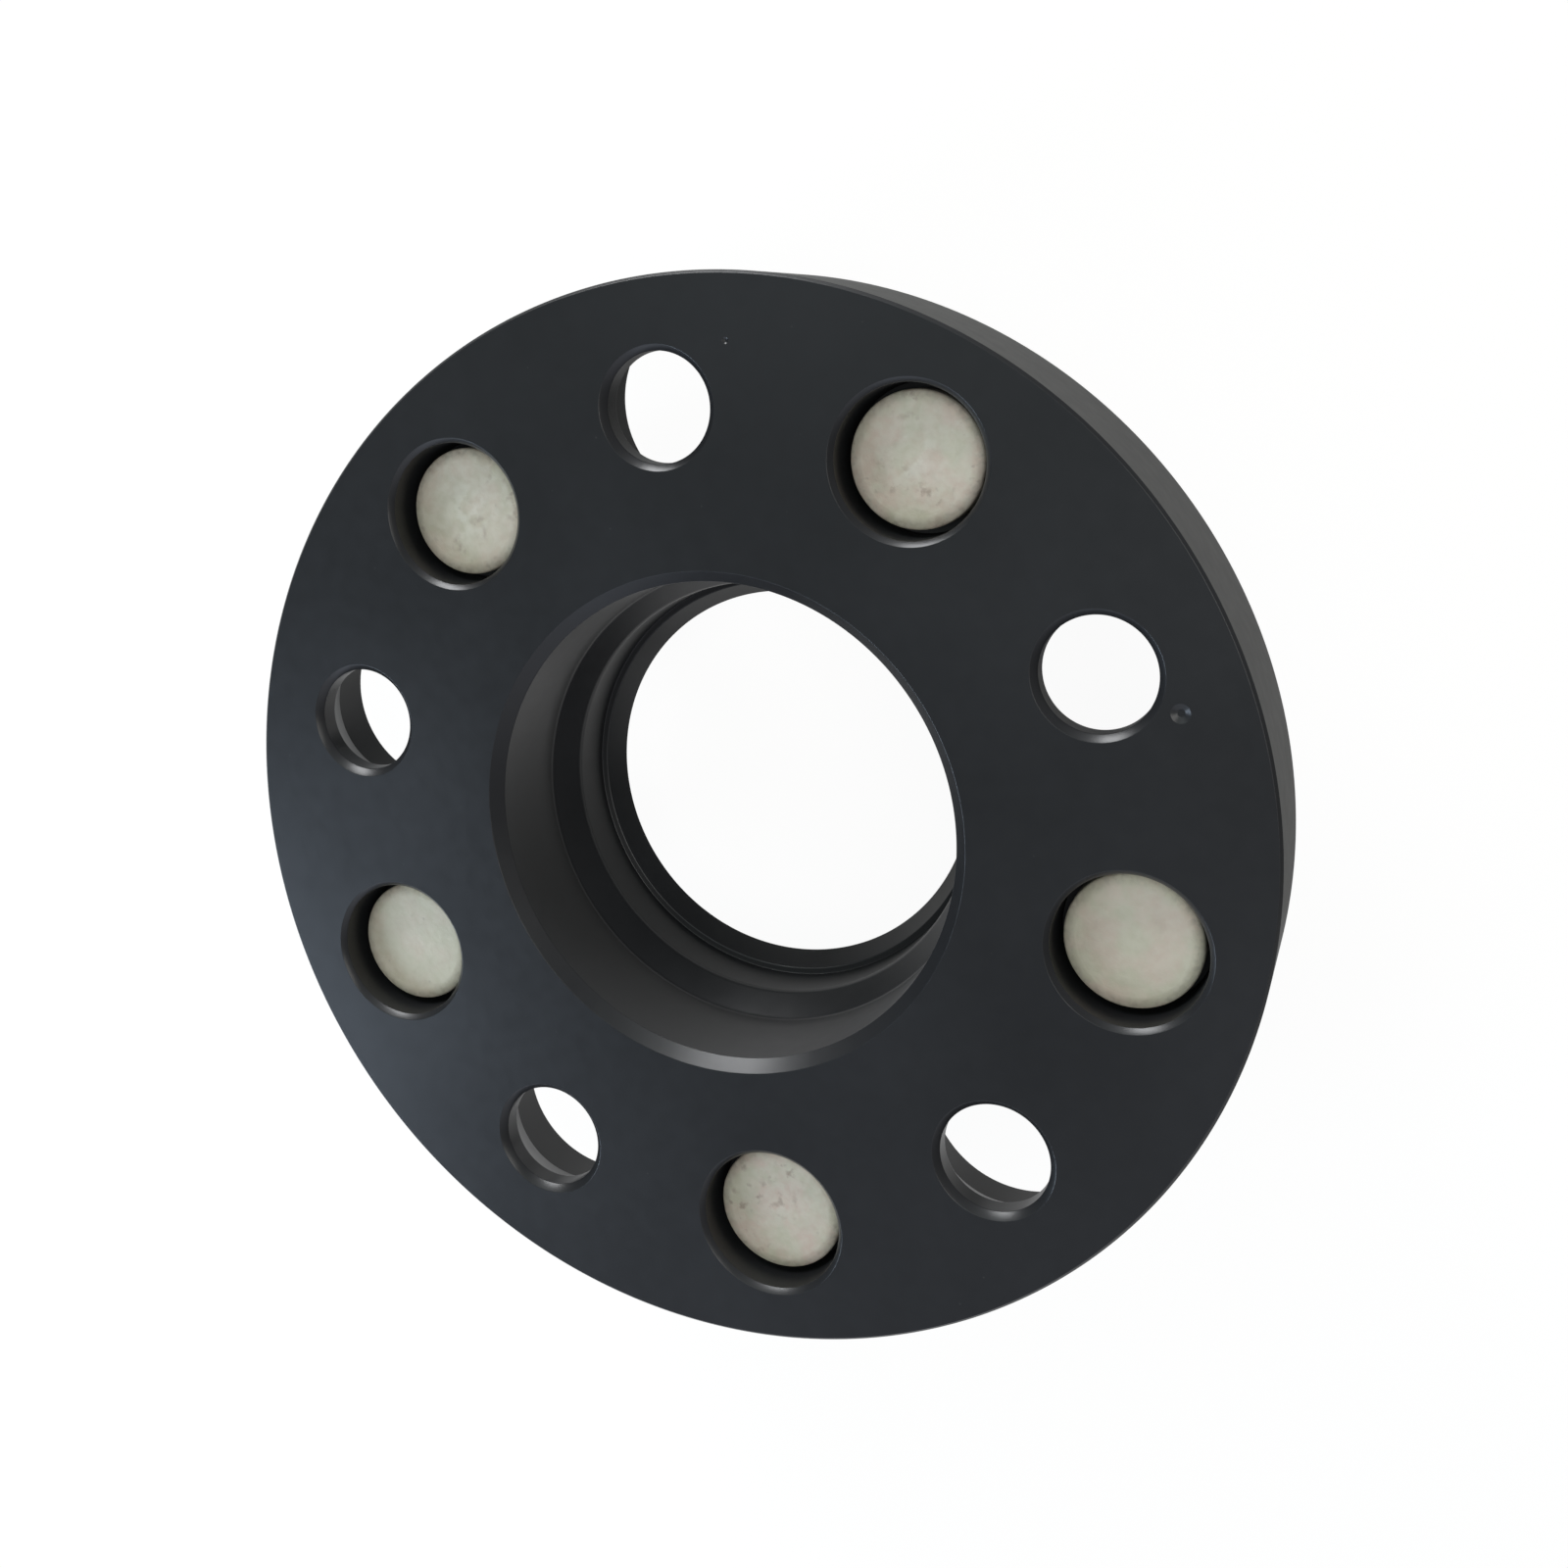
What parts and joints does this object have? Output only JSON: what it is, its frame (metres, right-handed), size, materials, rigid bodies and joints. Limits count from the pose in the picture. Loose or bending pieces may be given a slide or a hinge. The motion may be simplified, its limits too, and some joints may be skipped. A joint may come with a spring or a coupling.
{
  "type": "wheel spacer",
  "caption": "Bolt-on wheel spacer: a flat black ring with a stepped hub bore, a centring lip, plain bolt holes and pressed-in wheel studs.",
  "frame": {"origin": "on the spacer's axis, level with the flat tips of the studs that it stands on", "axes": "+Z along the axis, out of the hub face; +Y towards the first stud"},
  "size_m": [0.149, 0.149, 0.048],
  "materials": {
    "anodised_body": "satin",
    "plated_stud": "matte"
  },
  "bodies": {
    "root": {"spacer_body": "anodised_body", "stud_1": "plated_stud", "stud_2": "plated_stud", "stud_3": "plated_stud", "stud_4": "plated_stud", "stud_5": "plated_stud"}
  },
  "joints": []
}
